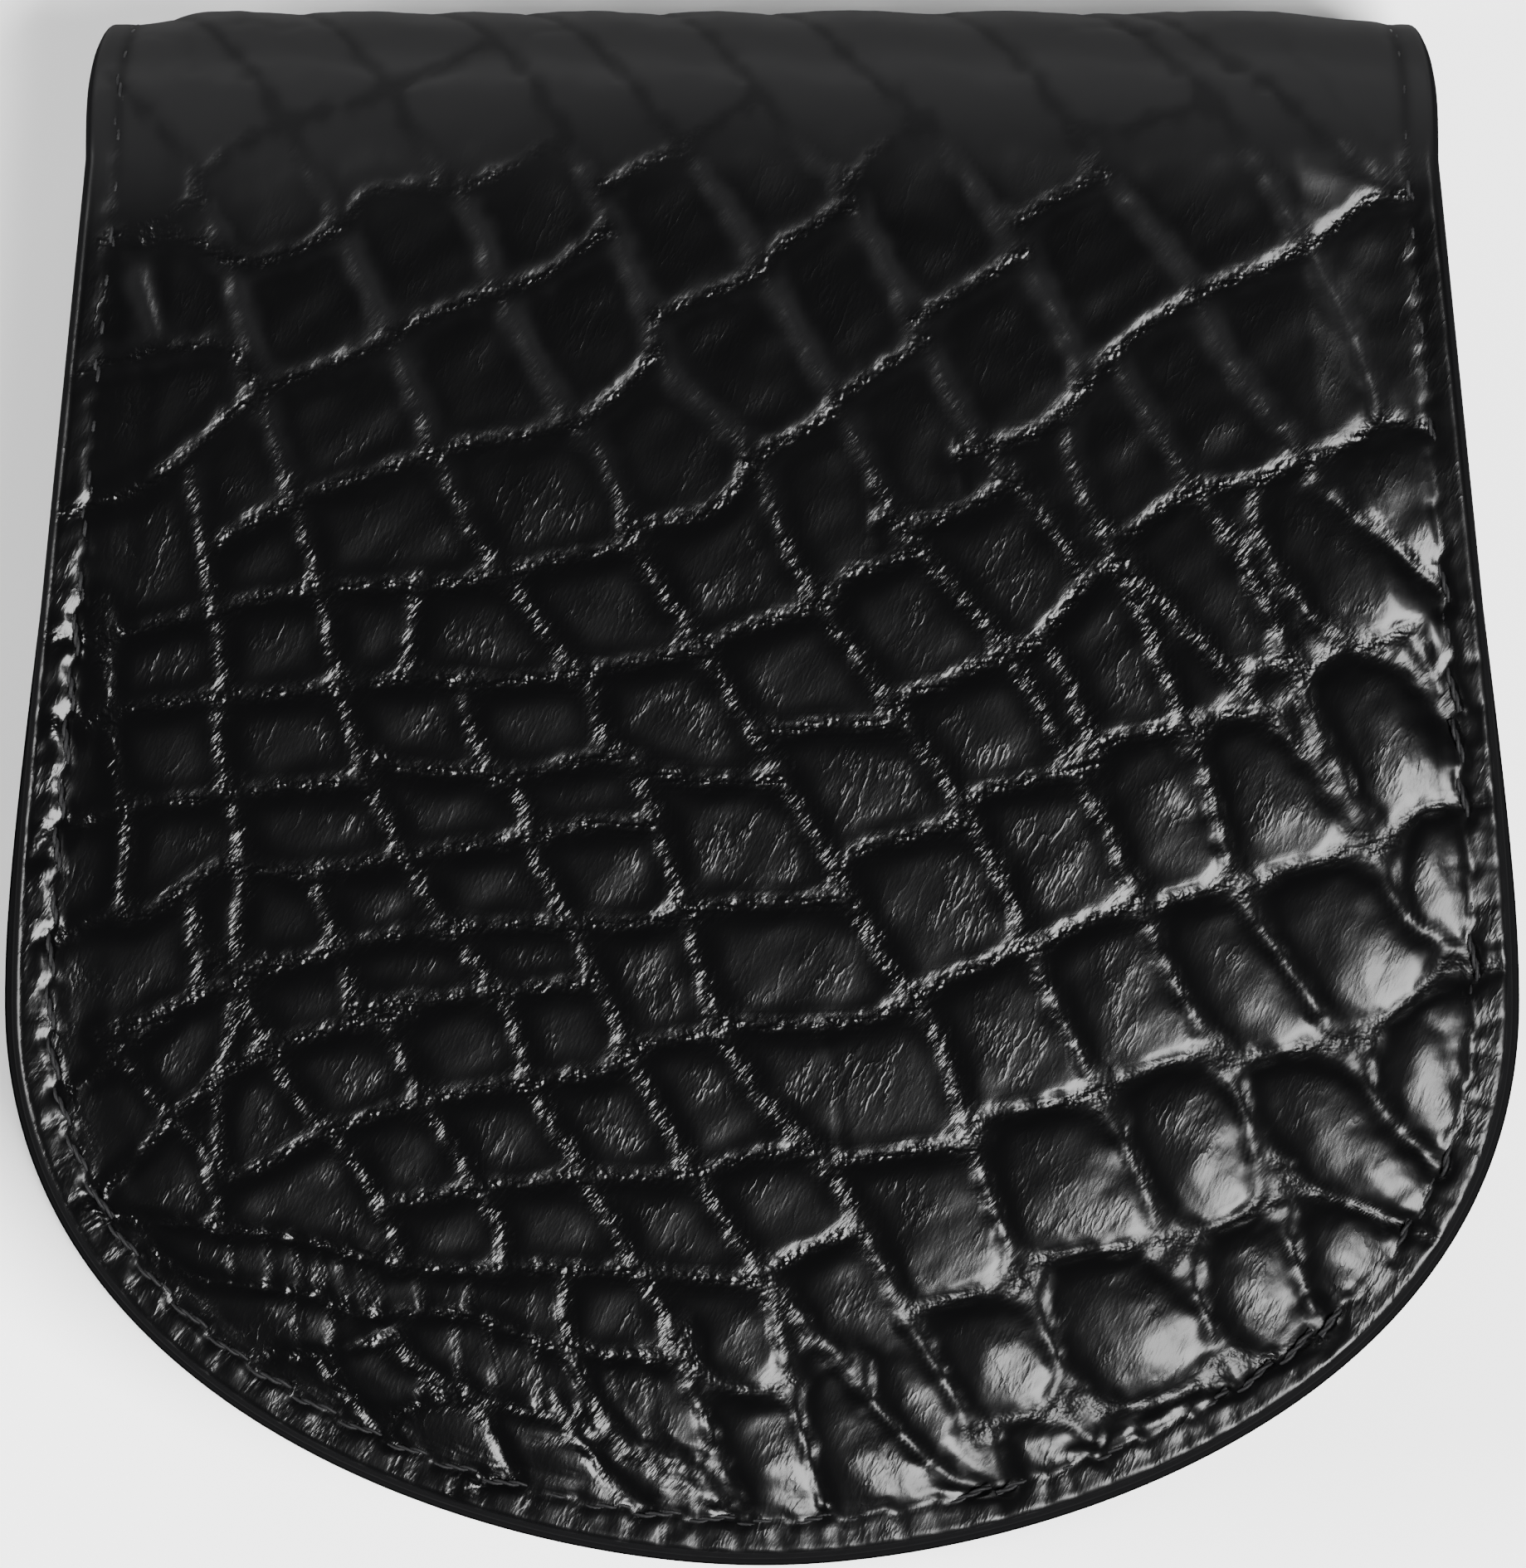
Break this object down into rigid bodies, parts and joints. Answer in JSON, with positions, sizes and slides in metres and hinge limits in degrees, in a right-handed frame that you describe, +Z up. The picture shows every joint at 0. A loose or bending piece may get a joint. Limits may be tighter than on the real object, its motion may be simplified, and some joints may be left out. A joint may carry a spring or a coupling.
{
  "type": "horseshoe coin wallet",
  "caption": "Horseshoe coin wallet: a crocodile leather flap folds over a gusseted coin pocket and closes on a hidden press stud.",
  "frame": {"origin": "middle of the footprint, on the surface that the wallet rests on", "axes": "+X across the wallet, +Y towards the fold at its straight end, +Z up out of the flap; the wallet lies on its back, closed"},
  "size_m": [0.0852, 0.087, 0.0172],
  "materials": {
    "crocodile_leather": "glossy black, square-scaled crocodile grain",
    "smooth_leather": "satin black, fine grain",
    "edge_finish": "rounded, dyed and burnished black edge",
    "thread": "waxed black thread",
    "stud_metal": "satin"
  },
  "bodies": {
    "root": {"outer_cover": "crocodile_leather", "gusset": "smooth_leather", "pocket_panel": "smooth_leather", "snap_stud": "stud_metal"}
  },
  "joints": []
}
